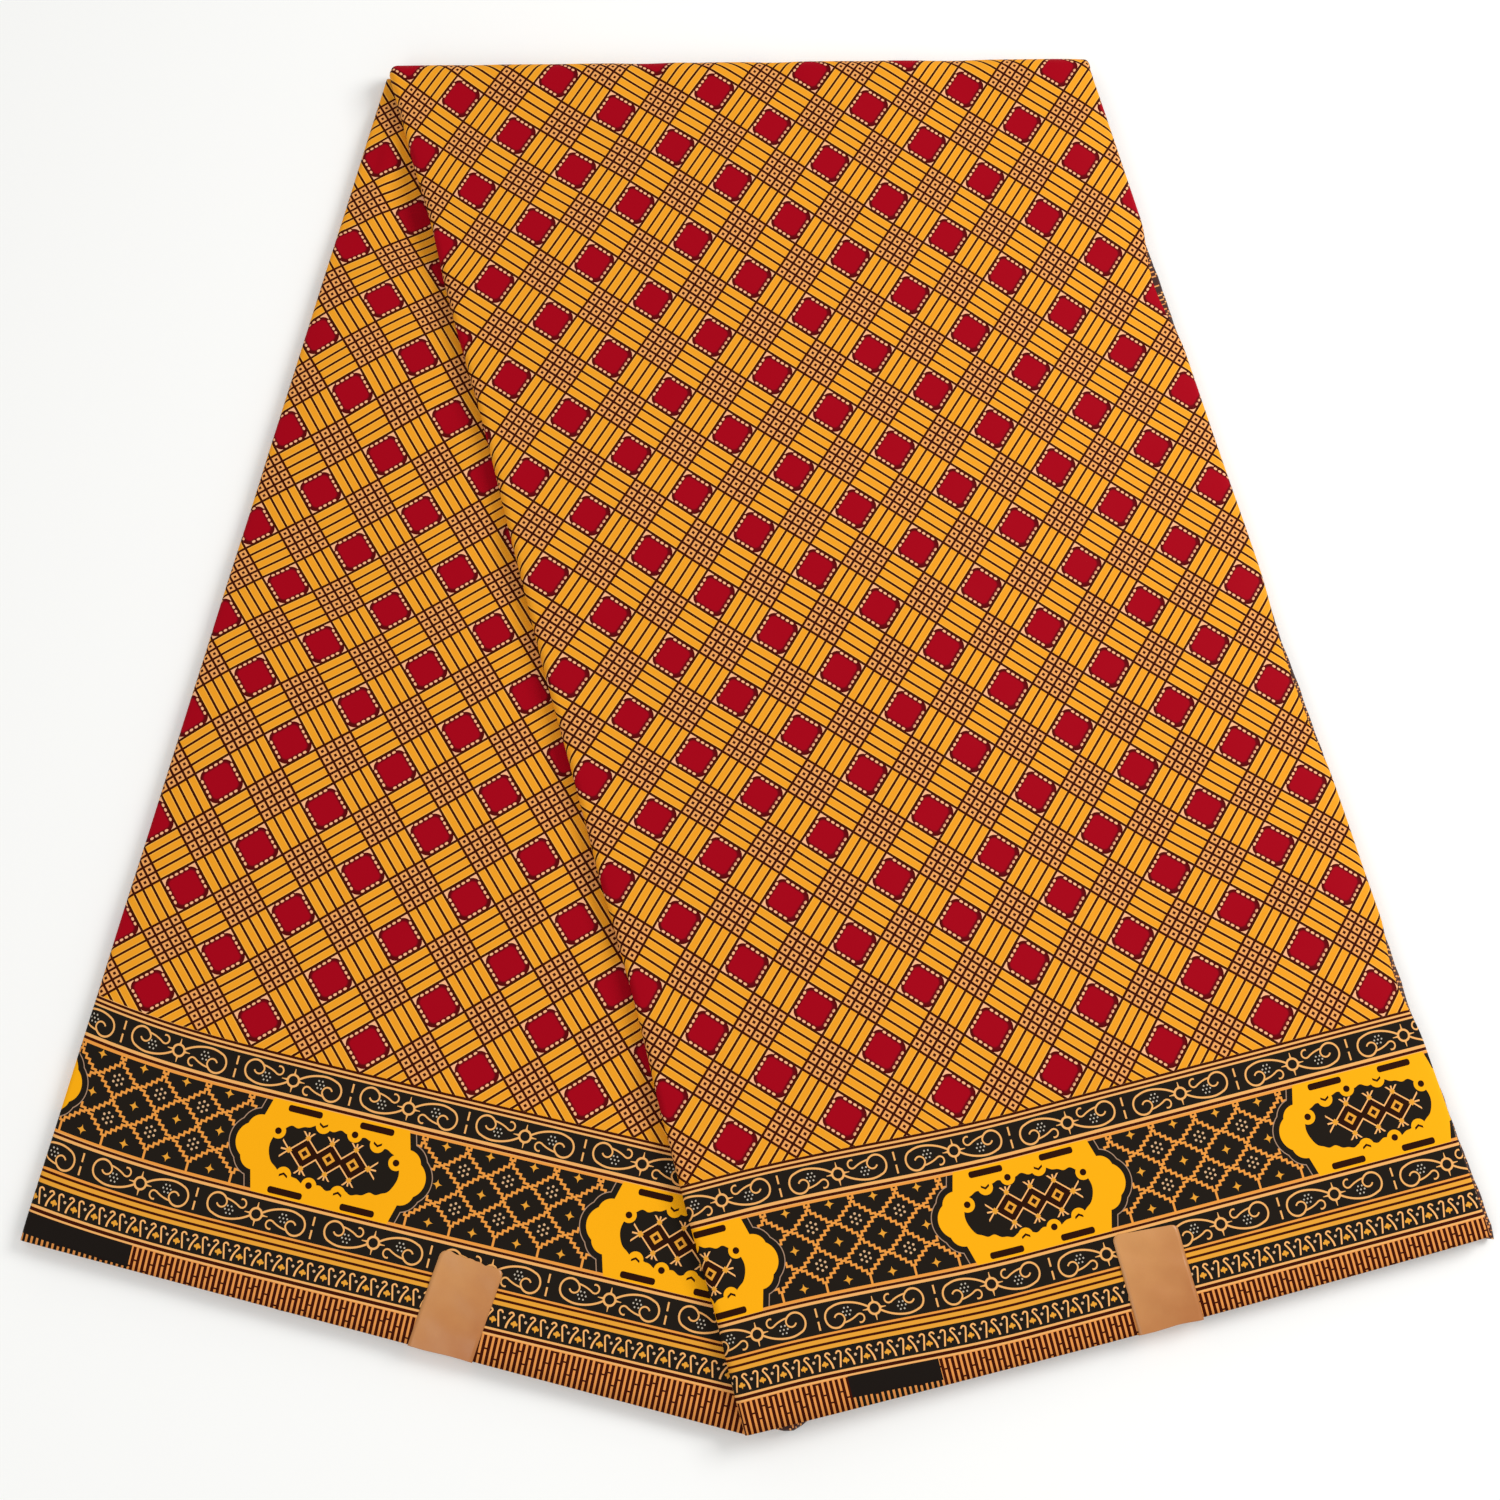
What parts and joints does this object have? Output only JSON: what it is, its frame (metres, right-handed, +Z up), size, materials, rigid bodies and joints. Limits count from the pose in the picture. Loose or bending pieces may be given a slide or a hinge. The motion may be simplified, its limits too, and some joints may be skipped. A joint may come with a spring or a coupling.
{
  "type": "folded length of printed polyester cloth",
  "caption": "Flat folded pack of check-printed polyester cloth with a scrolled border, fanned into two overlapping panels, with paper labels.",
  "frame": {"origin": "middle of the underside, on the surface that the pack lies on", "axes": "+Z up out of the surface, +Y from the two hems to the turned top edge, +X to the right panel's corner"},
  "size_m": [0.5538, 0.5568, 0.0139],
  "materials": {
    "printed_cloth": "plain-weave polyester, printed in golden yellow, orange, dark red and dark brown, with a soft sheen",
    "folded_cloth": "the same printed polyester, seen as folded edges and on the underside",
    "satin_paper": "satin copper-coloured paper, bare"
  },
  "bodies": {
    "root": {"hidden_layers": "folded_cloth", "left_panel": "printed_cloth", "right_panel": "printed_cloth", "left_label": "satin_paper", "right_label": "satin_paper"}
  },
  "joints": []
}
